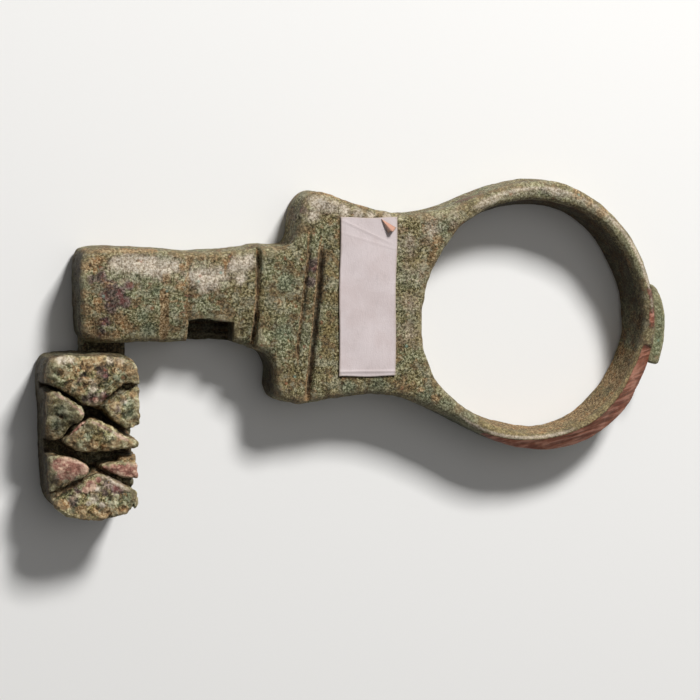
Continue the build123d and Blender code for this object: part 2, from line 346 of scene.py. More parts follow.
# The flat filed along the ring's outer edge, from the lower left round to the lug
filed = fades(angle, 241, 251, 344, 352)
tilt = math.radians(36)
past_flat = body.flat(from_centre - around(FILED_RADII, angle))
flat_cut = past_flat * math.sin(tilt) + (body.z - 5.95) * math.cos(tilt)
flat_cut = np.where(body.flat(filed) > 0, flat_cut - body.flat((1 - filed) * 1.2), -9.0)
body.d = keep_within(body.d, flat_cut, 0.08)


def body_strength(places):
    """How corroded the body is at each place."""
    x, y, z = places.T
    much = 1 - 0.35 * rise(-12.5, -9.5, x)
    turn = angle_at(x, y)
    on_flat = (np.hypot(x, y) > 12.2) & (z > 4.5) & (turn > 250) & (turn < 345)
    much = np.where(on_flat, 0.35, much)
    near_label = (np.abs(x - LABEL_MIDDLE[0]) < LABEL_HALF[0] + 0.2) & (z > 5)
    near_label &= np.abs(y - LABEL_MIDDLE[1]) < LABEL_HALF[1] + 0.2
    much = np.where(near_label, 0.15, much)
    much += 0.5 * rise(-42.5, -45.5, x)
    return much * (1 - 0.8 * rise(0.8, 0.1, z))


corrode(body, body_strength)

# The bit and its teeth

bit = Field((-50.4, -19.8, -0.7), (-39.2, -1.9, 7.8), BIT_STEP)
bit_loop = rounded([
    (-49.3, -4.4), (-48.8, -3.0), (-47.6, -2.7), (-42.0, -2.75), (-40.6, -3.05), (-40.0, -4.1),
    (-40.0, -9.0), (-40.2, -13.0), (-40.35, -16.6), (-40.9, -18.1), (-43.0, -18.75), (-45.6, -18.7),
    (-47.6, -18.0), (-48.8, -16.6), (-49.0, -12.0), (-49.1, -7.5),
], 2)
# Each tooth: how high it stands, how domed it is, how its top leans, and its outline on the face
TEETH = [
    # upper
    (6.85, 0.8, (0.05, 0.02), [
        (-50.8, -5.1), (-50.8, -2.9), (-48.6, -2.75), (-41.6, -3.0), (-41.2, -3.4), (-38.6, -3.4),
        (-38.6, -5.8), (-40.1, -5.75), (-40.5, -5.5), (-41.35, -5.5), (-42.1, -6.1), (-43.3, -6.95),
        (-44.2, -7.5), (-44.9, -7.45), (-45.5, -7.15), (-46.5, -6.5), (-48.2, -5.6), (-49.2, -5.2),
    ]),
    # upper right
    (6.75, 0.5, (-0.02, 0.03), [
        (-43.4, -7.85), (-42.1, -6.9), (-40.9, -6.0), (-40.1, -5.8), (-38.6, -5.7), (-38.6, -9.5),
        (-40.2, -9.4), (-41.0, -9.95), (-42.1, -9.35), (-43.1, -8.3),
    ]),
    # left
    (6.4, 0.6, (0.24, 0.24), [
        (-50.8, -6.4), (-49.2, -6.4), (-48.3, -6.2), (-47.3, -6.8), (-46.0, -7.8), (-45.6, -8.5),
        (-46.0, -8.95), (-46.9, -9.5), (-47.3, -10.4), (-48.0, -10.85), (-48.8, -10.65), (-50.8, -10.4),
    ]),
    # middle
    (6.8, 0.6, (0.02, 0.17), [
        (-47.3, -11.0), (-46.45, -10.35), (-45.2, -9.4), (-44.6, -9.0), (-43.3, -9.6), (-41.9, -10.5),
        (-41.4, -10.8), (-40.4, -11.1), (-39.9, -11.4), (-40.3, -11.85), (-41.4, -11.8), (-42.1, -11.7),
        (-42.9, -11.95), (-44.8, -12.05), (-46.1, -11.85), (-46.8, -11.4),
    ]),
    # lower left
    (6.5, 0.5, (0.08, 0.08), [
        (-50.8, -12.4), (-48.2, -12.55), (-46.7, -12.7), (-45.2, -13.4), (-44.85, -13.85), (-45.7, -14.5),
        (-46.4, -14.85), (-48.0, -15.65), (-50.8, -16.2),
    ]),
    # lower right
    (6.3, 0.2, (0.0, 0.03), [
        (-43.9, -13.6), (-42.8, -13.35), (-38.6, -13.5), (-38.6, -14.9), (-41.3, -14.6), (-42.0, -14.4),
        (-43.0, -14.0),
    ]),
    # bottom
    (6.85, 0.8, (0.03, -0.02), [
        (-48.6, -16.95), (-47.3, -16.15), (-45.8, -15.3), (-44.8, -14.6), (-43.85, -14.25), (-42.75, -14.8),
        (-40.9, -15.85), (-40.2, -16.4), (-38.6, -16.9), (-38.6, -20.0), (-50.0, -20.0),
    ]),
]
# The block's left shoulder is worn down
shoulder = 7.0 - 1.1 * np.clip((-47.3 - bit.x) / 2.2, 0, 1) ** 2
block = bit.prism(bit.loop(bit_loop), shoulder, round_top=0.55, round_bottom=0.45)
# The floor between the teeth: one deep saw cut, and shallow ones, each with its height and width
DEEP_CUT = [(-50.0, -5.2), (-48.4, -5.9), (-44.6, -8.0), (-41.0, -10.4), (-39.0, -11.0)]
SHALLOW_CUTS = [
    ([(-43.7, -7.5), (-40.0, -5.6)], 5.8, 0.9),
    ([(-49.5, -17.0), (-45.7, -14.85)], 5.5, 0.8),
    ([(-44.2, -14.2), (-39.0, -15.8)], 4.6, 0.7),
    ([(-41.6, -13.05), (-39.0, -12.95)], 5.4, 0.65),
]
floor_height = 3.4 - 1.2 * bell(bit.run(DEEP_CUT), 1.0)
for cut, height, width in SHALLOW_CUTS:
    floor_height = np.maximum(floor_height, height * np.exp(-((bit.run(cut) / width) ** 4)))
standing = bit.flat(np.zeros(bit.plan_shape)) + 9.0
for height, dome, (lean_x, lean_y), outline in TEETH:
    plan = bit.loop(rounded(outline, 1))
    middle = np.mean([p for p in outline if -49.5 < p[0] < -39.5], axis=0)
    top = height + lean_x * (bit.x - middle[0]) + lean_y * (bit.y - middle[1])
    top = top - dome * np.clip(1 + plan / 1.6, 0, 1) ** 2 * 0.5
    spread = bit.flat(plan) - 0.07 * np.clip(7.0 - bit.z, 0, 4)
    standing = np.minimum(standing, rounded_edge(spread, bit.z - bit.flat(top), 0.16))
standing = join(standing, bit.z - bit.flat(floor_height), 0.15)
bit.d = keep_within(block, standing, 0.12)

# A pebble of crust on the lowest tooth, and a flake of it on that tooth's right edge
for place, size in (((-46.7, -16.7, 6.6), (0.62, 0.42, 0.35)), ((-40.55, -17.1, 6.0), (0.35, 0.75, 0.6))):
    away = [(axis - c) / r for axis, c, r in zip((bit.x[:, :, None], bit.y[:, :, None], bit.z), place, size)]
    lump = (np.sqrt(away[0] ** 2 + away[1] ** 2 + away[2] ** 2) - 1) * min(size)
    bit.d = join(bit.d, lump, 0.12)


def bit_strength(places):
    z = places[:, 2]
    return (0.8 + 0.6 * rise(5.2, 6.2, z)) * (1 - 0.8 * rise(0.8, 0.1, z))


corrode(bit, bit_strength, fine=1.9)

# A thread of root caught between two teeth
THREAD = [(-46.75, -10.55), (-46.3, -9.95), (-45.65, -9.35), (-45.1, -9.2)]
thread = np.sqrt(bit.flat(bit.run(THREAD)) ** 2 + (bit.z - 6.0) ** 2) - 0.14
bit.d = join(bit.d, thread, 0.05)

# The lug

lug = Field((11.6, -6.0, 0.2), (15.0, 3.8, 5.6), LUG_STEP)
lug_loop = rounded([
    (12.75, 3.2), (13.45, 2.7), (14.0, 1.6), (14.35, 0.0), (14.35, -1.8), (14.1, -3.3), (13.8, -4.45),
    (13.6, -5.0), (12.9, -4.9), (12.3, -4.6), (12.6, -3.0), (12.8, 0.0), (12.6, 3.0),
], 2)
past_ring = np.hypot(lug.x, lug.y) - around(OUTER_RADII, angle_at(lug.x, lug.y)) + 0.1
lug_plan = keep_within(lug.loop(lug_loop), -past_ring, 0.1)
lug.d = lug.prism(lug_plan, np.float32(5.0), bottom=0.8, round_top=0.35, round_bottom=0.3)
corrode(lug, evenly(0.6))

# The bridge under the shank and the bit

arm = Field((-45.4, -9.0, -0.6), (-40.2, 6.0, 3.0), LUG_STEP * 1.3)
(ax0, ay0, _), (ax1, ay1, az1) = (tuple(c / MM for c in corner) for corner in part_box("bit_arm"))
arm_plan = arm.loop([(ax0, ay0), (ax1, ay0), (ax1, ay1), (ax0, ay1)])
arm.d = arm.prism(arm_plan, np.float32(az1), bottom=0.06, round_top=0.35, round_bottom=0.25)
corrode(arm, evenly(0.5))

# Where the patina's colours are, as a value for each vertex


def strongest(*layers):
    """The greatest of these values at each point."""
    greatest = layers[0]
    for layer in layers[1:]:
        greatest = np.maximum(greatest, layer)
    return greatest


def spots(points, places):
    """The strongest of several spots at (x, y, radius), which fade out at about twice the radius."""
    total = np.zeros(len(points))
    for x, y, radius in places:
        away = (points[:, 0] - x) ** 2 + (points[:, 1] - y) ** 2
        total = np.maximum(total, np.exp(-away / radius**2))
    return total


def near_runs(points, runs, width):
    """1 on these runs of points, fading to the side."""
    distances = [distance_to_run(points[:, 0], points[:, 1], run) for run in runs]
    return strongest(*[bell(distance, width) for distance in distances])


def moved(run, by):
    return [(x + by, y) for x, y in run]


EARTH_SPOTS = [
    (-45.1, 5.7, 0.8), (-44.5, 6.3, 0.7), (-44.2, 5.4, 0.5), (-44.1, 2.4, 0.6), (-43.9, 1.6, 0.6),
    (-45.0, 1.6, 1.0), (-44.6, 0.4, 1.0), (-44.3, -0.7, 0.8), (-41.6, 0.6, 1.0), (-41.1, -0.1, 1.0),
    (-42.0, -0.8, 0.9), (-43.2, -1.3, 0.8), (-45.3, 3.2, 0.6), (-43.6, 6.5, 0.7), (-34.8, 6.5, 0.8),
    (-33.6, 6.5, 0.8), (-32.4, 6.4, 0.7), (-31.4, 6.1, 0.6), (-35.6, 5.6, 0.5), (-37.2, 4.6, 0.6),
    (-36.0, 3.6, 0.5), (-34.4, 2.75, 0.35), (-32.1, 2.2, 0.3), (4.6, 12.3, 0.8), (7.2, 10.4, 0.9),
    (5.9, 11.5, 0.7), (-9.8, 7.9, 0.8), (-10.4, 6.4, 0.6), (-26.1, 2.0, 0.5), (-20.9, 9.8, 0.5),
    (-20.3, 8.4, 0.4), (-11.7, -6.9, 0.5), (-10.2, -7.7, 0.6),
]
EARTH_RUNS = [
    [(-37.3, 2.2), (-36.2, 2.35), (-35.1, 2.1)], [(-35.0, 6.3), (-35.1, 4.8), (-35.5, 3.9), (-36.4, 3.6)],
    [(-30.6, 6.9), (-31.2, 5.8), (-31.45, 4.7)], [(-35.15, 0.2), (-35.2, -1.6)],
    [(-25.4, 7.7), (-24.9, 7.6)],
]
RIM_RUNS = [
    [(-22.3, 12.7), (-20.9, 12.5), (-19.4, 11.95), (-18.1, 11.5), (-16.9, 11.1)],
    [(-45.0, 7.2), (-38.0, 7.2)],
]
STAIN_SPOTS = [
    (-43.6, 4.7, 0.7), (-42.7, 3.9, 0.8), (-43.0, 3.0, 0.8), (-41.9, 3.2, 0.8), (-41.4, 2.4, 0.7),
    (-40.9, 3.9, 0.5), (-42.6, 2.0, 0.8), (-43.3, 0.4, 0.6), (-43.6, -0.7, 0.6), (-44.6, 4.6, 0.5),
    (-23.9, 11.6, 0.5), (-23.6, 11.0, 0.5), (-22.6, 5.6, 0.8), (-22.9, 4.0, 0.7), (-30.8, 6.6, 0.3),
    (-30.9, 5.6, 0.3),
]
POLISH_SPOTS = [
    (-42.0, 6.0, 0.9), (-41.0, 6.0, 1.2), (-40.2, 6.0, 1.2), (-39.3, 5.8, 1.3), (-38.3, 5.7, 1.3),
    (-37.4, 5.6, 1.2), (-36.5, 5.6, 0.8), (-34.6, 4.7, 0.9), (-33.7, 4.6, 1.1), (-32.7, 4.5, 1.2),
    (-31.8, 4.9, 0.9), (-33.6, 3.8, 0.8), (-30.4, 5.6, 0.9), (-29.6, 5.8, 1.0), (-28.9, 6.2, 0.8),
    (-29.9, 4.4, 0.7), (-22.3, 11.8, 0.8), (-21.7, 11.6, 0.9), (-20.5, 11.3, 0.8), (-19.4, 10.9, 0.7),
    (-18.1, 10.6, 0.6), (-16.7, 10.4, 0.5), (-15.0, 10.2, 0.5), (-22.6, 10.4, 0.7),
]
WORN_SPOTS = [
    (-13.0, 7.4, 1.8), (-12.6, 4.6, 1.8), (-12.5, 1.6, 1.8), (-12.8, -1.2, 1.6), (-10.4, 9.0, 1.4),
    (-8.2, 10.2, 1.2),
]
GREEN_SPOTS = [
    (-6.6, -10.0, 1.2), (-9.0, -8.6, 1.1), (-11.2, -7.6, 1.2), (-38.9, -0.3, 1.0), (-39.6, 0.9, 0.8),
    (-45.2, 3.8, 0.6), (-40.3, 5.0, 0.7), (-38.2, 3.2, 0.7), (-33.0, 0.6, 0.7), (-25.4, 4.0, 1.2),
    (-25.6, -1.0, 1.2), (-16.0, -6.5, 1.2), (-19.0, -6.6, 1.0), (-9.4, 9.2, 0.8), (3.0, 12.2, 0.8),
]
YELLOW_SPOTS = [
    (-20.9, 5.1, 0.8), (-20.8, 2.2, 0.9), (-21.1, -0.8, 0.9), (-21.3, -3.2, 0.9), (-12.8, 2.0, 1.4),
    (-12.3, -1.4, 1.4), (-12.6, 5.6, 1.2), (-23.5, 12.1, 0.6), (-28.0, 3.0, 0.8),
]
DIRT_SPOTS = [
    (-43.9, -0.5, 0.7), (-44.4, -1.2, 0.7), (-43.1, 3.5, 0.7), (-43.9, 4.7, 0.5), (-42.5, 2.3, 0.5),
]
BARE_RUN = [(-7.4, 11.6), (-5.0, 12.6)]
SCRATCHES = [
    [(-39.9, 4.0), (-37.8, 4.05)], [(-40.4, 1.9), (-38.9, 1.9)], [(-37.9, 2.6), (-34.7, 2.7)],
    [(-35.6, 2.9), (-33.4, 2.95)], [(-33.8, 1.6), (-32.6, 1.7)], [(-36.1, 1.2), (-33.9, 1.3)],
    [(-34.9, 2.35), (-34.1, 2.4)], [(-32.6, 2.15), (-31.5, 2.25)], [(-39.2, 2.6), (-38.5, 2.6)],
]


def body_marks(points):
    """Where earth, stains, wear and bare metal are on the ring, the plate and the shank, and where shade and
    highlights are painted.
    """
    x, y, z = points.T
    radius = np.hypot(x, y)
    turn = angle_at(x, y)
    signed_turn = np.where(turn > 180, turn - 360, turn)
    patches = lumps(points.astype(np.float32))
    face_up = rise(4.6, 5.4, z)
    from_band = radius - (around(OUTER_RADII, turn) + HOLE_RADIUS) / 2
    onto_flat = radius - around(FILED_RADII, turn)
    low_turn = fades(turn, 232, 250, 338, 350)
    earth = strongest(
        near_runs(points, [moved(RIGHT_LINE, -0.3)], 0.15),
        near_runs(points, [RIGHT_LINE], 0.25) * rise(-2.6, -4.6, y),
        0.95 * near_runs(points, [moved(LEFT_LINE, -0.06)], 0.15) * rise(-5.2, -3.0, y),
        near_runs(points, [moved(ROOT_LINE, -0.16)], 0.17) * rise(6.4, 4.6, y),
        1.5 * near_runs(points, [SHANK_LINE], 0.45),
        0.6 * near_runs(points, FAINT_LINES[:1], 0.2),
        0.8 * near_runs(points, EARTH_RUNS, 0.2),
        0.85 * spots(points, EARTH_SPOTS),
        (0.26 + 0.5 * patches) * rise(-40.0, -43.5, x),
    )
    inner_wall = rise(12.2, 11.6, radius) * rise(5.7, 5.2, z) * rise(-12, -10, x)
    low_rim = fades(turn, 285, 300, 340, 350) * (radius < 12.6) * (z > 4.5)
    earth = strongest(
        earth * face_up,
        0.75 * near_runs(points, RIM_RUNS, 0.3) * rise(2.0, 3.0, z),
        (0.40 + 0.30 * low_turn + 0.5 * patches) * inner_wall,
        0.46 * low_rim,
    )
    # The polished mark is partly real rubbed wear (the spots) and partly painted highlight: the shank's lit
    # upper band, the ring's upper band and crest, and the rim beside the filed flat
    shank_highlight_band = bell(y - 5.3, 1.5) * fades(x, -44.6, -42.5, -29.0, -28.2)
    upper_band_highlight = bell(from_band, 0.5) * rise(-9.0, -6.0, x) * fades(turn, 38, 60, 116, 128)
    upper_crest_highlight = bell(from_band - 0.25, 0.22) * rise(-7.5, -5.5, x) * (turn < 130)
    lower_rim_highlight = bell(onto_flat + 0.2, 0.18) * fades(turn, 226, 240, 280, 304)
    polish_and_highlight = strongest(
        spots(points, POLISH_SPOTS),
        0.42 * shank_highlight_band * face_up,
        (0.55 + 0.3 * patches) * upper_band_highlight,
        0.46 * spots(points, WORN_SPOTS) * face_up,
        0.9 * upper_crest_highlight,
        1.05 * lower_rim_highlight,
    )
    filed_flat = fades(turn, 243, 248, 343, 349) * rise(-0.05, 0.12, onto_flat)
    filed_flat = filed_flat * rise(4.2, 4.6, z)
    beside_lug = fades(signed_turn, -16, -12, 12, 16) * rise(11.95, 12.35, radius) * (z > 4.4)
    bare = strongest(
        filed_flat * (1 - 0.3 * fades(turn, 296, 306, 326, 338)),
        (0.52 + 0.4 * patches) * beside_lug,
        0.7 * near_runs(points, [BARE_RUN], 0.2) * (z > 2),
        0.52 * near_runs(points, SCRATCHES, 0.10) * face_up,
    )
    lower_edge = fades(turn, 222, 230, 250, 258) * rise(12.0, 12.5, radius)
    green = strongest(
        0.75 * bell(from_band + 0.2, 0.6) * (turn < 112) * (turn > 18) * (z > 3.4),
        spots(points, GREEN_SPOTS),
        0.95 * lower_edge,
    )
    yellow = strongest(spots(points, YELLOW_SPOTS) * face_up, 1.1 * low_turn * (radius < 12.4))
    # Painted shade on the walls turned from the light: the free end, the notch, the plate's side walls, the
    # right walls of the plate's lines and the hole's right wall; also darker: a strip between the plate's
    # lines, spots on the shank, the ring's lower edge and the face beside the lug
    dirt_and_shade = strongest(
        rise(5.3, 4.4, z) * rise(-44.6, -45.3, x),
        rise(5.2, 4.0, z) * fades(x, -36.0, -35.3, -30.1, -29.4) * (y < 0.9),
        rise(5.0, 3.6, z) * rise(-25.6, -26.2, x) * (x > -28) * (y < -3),
        0.6 * rise(4.8, 3.4, z) * rise(-24.0, -24.6, x) * (x > -27) * (y > 8),
        1.1 * near_runs(points, [moved(RIGHT_LINE, 0.12)], 0.2) * fades(y, -4.4, -2.8, 5.5, 7.6),
        0.7 * near_runs(points, [moved(LEFT_LINE[:4], 0.2)], 0.25) * fades(y, -0.4, 1.0, 6.4, 7.6),
        0.16 * fades(x, -24.0, -23.4, -22.4, -21.9) * fades(y, -5.0, -3.0, 6.0, 8.0),
        0.75 * spots(points, DIRT_SPOTS) * face_up,
        0.5 * lower_edge * rise(5.6, 4.6, z),
        0.5 * fades(signed_turn, -18, -12, 16, 24) * rise(12.35, 12.1, radius) * (radius > 11),
        rise(5.3, 4.2, z) * (radius < 12.2) * fades(signed_turn, -22, 12, 112, 130),
    )
    return {
        "earth": earth, "stain": 1.15 * spots(points, STAIN_SPOTS) * face_up, "polish_and_highlight": polish_and_highlight * face_up,
        "bare": bare, "green": green, "yellow": yellow, "dirt_and_shade": 0.72 * dirt_and_shade,
    }


BIT_EARTH = [
    (-47.4, -4.4, 0.9), (-46.4, -4.2, 0.8), (-46.9, -5.3, 0.8), (-45.4, -5.2, 0.9), (-45.9, -6.1, 0.7),
    (-45.2, -3.7, 1.0), (-43.9, -3.3, 0.9), (-42.2, -3.6, 0.6), (-41.0, -4.4, 0.7), (-42.6, -4.2, 0.5),
    (-40.7, -6.6, 0.6), (-41.6, -6.9, 0.4), (-42.7, -7.8, 0.5), (-44.6, -11.5, 0.7), (-42.6, -11.4, 0.8),
    (-43.5, -11.6, 0.7), (-41.0, -11.4, 0.6), (-46.6, -10.9, 0.5), (-45.8, -17.9, 0.9), (-43.6, -18.2, 0.9),
    (-41.8, -17.7, 0.7), (-47.6, -17.0, 0.8), (-44.6, -17.8, 0.6), (-46.9, -15.4, 0.3), (-47.8, -14.9, 0.5),
]
BIT_STAIN = [
    (-44.7, -6.8, 0.8), (-43.6, -6.7, 0.7), (-45.4, -6.9, 0.5), (-43.9, -3.9, 0.8), (-43.5, -4.7, 0.5),
    (-45.6, -4.7, 0.5), (-45.9, -5.1, 0.4), (-43.2, -15.1, 0.9), (-42.4, -15.6, 0.9), (-43.9, -14.7, 0.5),
    (-46.2, -15.8, 0.4), (-46.7, -16.7, 0.7), (-42.3, -8.0, 0.5), (-48.1, -14.7, 0.8), (-43.6, -16.0, 0.5),
]
BIT_GREEN = [
    (-42.3, -4.9, 0.6), (-41.7, -4.7, 0.5), (-42.9, -5.4, 0.4), (-41.2, -7.5, 0.8), (-40.8, -8.4, 0.7),
    (-41.5, -8.7, 0.4), (-48.2, -3.7, 0.6), (-48.3, -4.6, 0.5), (-47.9, -7.9, 0.9), (-47.2, -8.5, 0.9),
    (-48.2, -9.3, 0.8), (-46.6, -8.2, 0.6), (-46.0, -11.2, 0.5), (-45.2, -10.6, 0.5), (-44.4, -17.1, 0.5),
    (-45.3, -16.3, 0.4), (-43.3, -16.7, 0.5), (-41.4, -16.5, 0.7), (-40.9, -17.4, 0.6), (-42.1, -17.4, 0.5),
]
BIT_YELLOW = [(-46.6, -4.6, 1.0), (-43.6, -11.4, 0.8), (-44.8, -17.6, 0.8), (-44.2, -10.7, 0.7)]
BIT_POLISH = [
    (-47.6, -3.1, 0.6), (-46.8, -3.1, 0.4), (-44.6, -5.9, 0.5), (-44.9, -5.2, 0.3), (-43.0, -3.2, 0.5),
    (-42.0, -3.3, 0.4), (-41.6, -7.2, 0.35), (-44.6, -16.6, 0.5), (-43.9, -17.2, 0.4), (-45.2, -17.0, 0.3),
    (-44.3, -15.6, 0.4),
]
BIT_PINK = [
    (-48.0, -13.2, 0.8), (-47.2, -13.3, 0.9), (-46.4, -13.6, 0.9), (-45.6, -13.7, 0.7), (-47.6, -14.2, 0.7),
    (-46.8, -14.3, 0.6), (-43.4, -13.8, 0.4), (-42.6, -13.85, 0.6), (-41.9, -13.9, 0.7),
    (-41.2, -14.0, 0.8), (-40.5, -14.1, 0.8), (-44.9, -15.3, 0.6), (-45.4, -15.7, 0.4),
    (-44.2, -14.8, 0.35), (-44.4, -7.0, 0.35),
]
# Painted shade: teeth that lean away from the light, darkened
BIT_SHADE_SPOTS = [(-48.3, -8.0, 1.1), (-47.9, -9.4, 1.3), (-48.6, -14.6, 0.9), (-48.2, -15.2, 0.7)]
BIT_SOFT_SHADE_SPOTS = [(-47.3, -14.8, 0.8), (-46.5, -14.7, 0.6), (-46.9, -9.1, 0.9), (-47.6, -8.2, 0.9)]
# Painted highlights along the teeth's upper edges, which face the light
TOOTH_HIGHLIGHT_EDGES = [
    [(-48.3, -6.35), (-47.3, -6.95), (-46.0, -7.95), (-45.6, -8.4)],
    [(-44.7, -9.15), (-43.3, -9.85), (-41.9, -10.7), (-41.3, -11.0)], [(-46.5, -12.95), (-45.4, -13.5)],
    [(-43.7, -14.5), (-42.7, -15.0), (-41.2, -15.9)],
]
LUG_EARTH = [(13.2, 2.8, 0.8), (13.8, 1.9, 0.4)]


def bit_marks(points):
    """Where the crust on the teeth is tan, green, purple, pink, worn or dark, with painted shade on walls
    and teeth turned from the light and painted highlights on upper tooth edges.
    """
    x, y, z = points.T
    face_up = rise(5.4, 6.2, z)
    cut_faces = rise(6.2, 5.4, z) * rise(4.0, 5.0, z)
    thread_heights = rise(5.78, 5.86, z) * rise(6.3, 6.2, z)
    # Real pink metal in spots, and painted pinkish highlights along the two upper tooth edges
    pink = strongest(spots(points, BIT_PINK), 0.55 * near_runs(points, TOOTH_HIGHLIGHT_EDGES[:2], 0.3))
    pink = pink * rise(5.0, 5.8, z)
    # Painted shade: the left wall, the top wall under the shank, the low walls and floors, the grooves and
    # the teeth that lean away from the light are darkened
    dirt_and_shade = strongest(
        rise(6.3, 5.0, z) * rise(-48.0, -48.8, x),
        0.8 * rise(6.4, 5.6, z) * rise(-3.4, -2.9, y),
        0.75 * rise(5.3, 4.2, z),
        0.5 * rise(-47.8, -49.2, x),
        0.62 * near_runs(points, [SHALLOW_CUTS[1][0], SHALLOW_CUTS[0][0]], 0.6) * rise(6.2, 5.9, z),
        0.7 * spots(points, BIT_SHADE_SPOTS),
        0.62 * spots(points, BIT_SOFT_SHADE_SPOTS),
    )
    return {
        "earth": strongest(0.85 * spots(points, BIT_EARTH) * face_up, 0.62 * cut_faces),
        "stain": spots(points, BIT_STAIN),
        "polish_and_highlight": strongest(spots(points, BIT_POLISH), 0.7 * near_runs(points, TOOTH_HIGHLIGHT_EDGES, 0.2)) * face_up,
        "bare": strongest(pink, near_runs(points, [THREAD], 0.16) * thread_heights),
        "green": 0.9 * spots(points, BIT_GREEN),
        "yellow": spots(points, BIT_YELLOW),
        "dirt_and_shade": 0.85 * dirt_and_shade,
    }


def lug_marks(points):
    worn_rim = rise(14.2, 14.4, np.hypot(points[:, 0], points[:, 1]))
    return {"green": 1.15, "earth": 0.6 * spots(points, LUG_EARTH), "bare": 0.35 * worn_rim}


def arm_marks(points):
    # Painted shade: the bridge, which lies under the shank, is darkened all over
    return {"dirt_and_shade": 0.6}


# Meshes

MARKS = ("earth", "stain", "polish_and_highlight", "bare", "green", "yellow", "dirt_and_shade")
MOST_CORNERS = 8  # a face with more corners than this is a cap


def mesh_of(field, name, marks_at):
    """The field's surface as a smooth mesh in metres, with named values for each vertex."""
    band = 10 * field.step
    d = np.clip(field.d, -band, band)
    grid = openvdb.FloatGrid(float(d.max()))
    grid.copyFromArray(np.ascontiguousarray(d, dtype=np.float32))
    points, quads = grid.convertToQuads(0.0)
    points = (points * field.step + field.low).astype(np.float64)
    a, b, c = (points[quads[:, i]] for i in range(3))
    faces_out = np.einsum("ij,ij->i", a, np.cross(b, c)).sum() > 0
    if not faces_out:
        quads = quads[:, ::-1]
    mesh = bpy.data.meshes.new(name)
    mesh.vertices.add(len(points))
    mesh.vertices.foreach_set("co", (points * MM).astype(np.float32).ravel())
    mesh.loops.add(len(quads) * 4)
    mesh.loops.foreach_set("vertex_index", quads.astype(np.int32).ravel())
    mesh.polygons.add(len(quads))
    mesh.polygons.foreach_set("loop_start", np.arange(len(quads), dtype=np.int32) * 4)
    mesh.update(calc_edges=True)
    mesh.validate()
    mesh.polygons.foreach_set("use_smooth", [True] * len(mesh.polygons))
    values = {
        **dict.fromkeys(MARKS, 0.0),
        **marks_at(points),
        "hollow": hollowness(field, points, 0.22),
        "wide_hollow": hollowness(field, points, 0.6),
    }
    for mark, value in values.items():
        layer = mesh.attributes.new(mark, "FLOAT", "POINT")
        layer.data.foreach_set("value", np.broadcast_to(value, len(points)).astype(np.float32))
    return mesh


def part_body(mesh):
    """Parts the body's mesh at the nodes' joints, and closes each part with flat caps."""
    whole = bmesh.new()
    whole.from_mesh(mesh)
    whole.normal_update()
    normal = whole.verts.layers.float_vector.new("surface_normal")
    for vert in whole.verts:
        vert[normal] = vert.normal
    cuts = [((SHANK_JOINT_X * MM, 0, 0), (1, 0, 0))]
    for turn in (UPPER_JOINT, LOWER_JOINT):
        cuts.append(((0, 0, 0), (-math.sin(math.radians(turn)), math.cos(math.radians(turn)), 0)))
    for place, facing in cuts:
        everything = whole.verts[:] + whole.edges[:] + whole.faces[:]
        bmesh.ops.bisect_plane(whole, geom=everything, plane_co=place, plane_no=facing, dist=1e-8)
    belongs = []
    for polygon in whole.faces:
        middle = polygon.calc_center_median() / MM
        turn = math.degrees(math.atan2(middle.y, middle.x)) % 360
        if middle.x < SHANK_JOINT_X:
            belongs.append("shank")
        elif UPPER_JOINT < turn < LOWER_JOINT:
            belongs.append("plate")
        else:
            belongs.append("ring")
    parts = {}
    for wanted in ("ring", "plate", "shank"):
        part = whole.copy()
        unwanted = [polygon for polygon, piece in zip(part.faces, belongs) if piece != wanted]
        bmesh.ops.delete(part, geom=unwanted, context="FACES")
        rim = [edge for edge in part.edges if edge.is_boundary]
        for cap in bmesh.ops.holes_fill(part, edges=rim, sides=0)["faces"]:
            cap.smooth = False
        bmesh.ops.recalc_face_normals(part, faces=part.faces[:])
        parts[wanted] = bpy.data.meshes.new(wanted)
        part.to_mesh(parts[wanted])
        part.free()
    whole.free()
    return parts


def set_normals(mesh):
    """Smooth normals that run on across the joints, and flat caps."""
    stored = np.zeros(len(mesh.vertices) * 3, dtype=np.float32)
    mesh.attributes["surface_normal"].data.foreach_get("vector", stored)
    loop_verts = np.zeros(len(mesh.loops), dtype=np.int32)
    mesh.loops.foreach_get("vertex_index", loop_verts)
    normals = stored.reshape(-1, 3)[loop_verts]
    for polygon in mesh.polygons:
        if polygon.loop_total > MOST_CORNERS:
            normals[polygon.loop_start : polygon.loop_start + polygon.loop_total] = polygon.normal
    mesh.normals_split_custom_set(normals.tolist())
    mesh.attributes.remove(mesh.attributes["surface_normal"])


body_mesh = mesh_of(body, "casting", body_marks)
bit_mesh = mesh_of(bit, "bit_teeth", bit_marks)
lug_mesh = mesh_of(lug, "lug", lug_marks)
arm_mesh = mesh_of(arm, "bridge", arm_marks)
parts = part_body(body_mesh)
for mesh in parts.values():
    set_normals(mesh)

# Materials


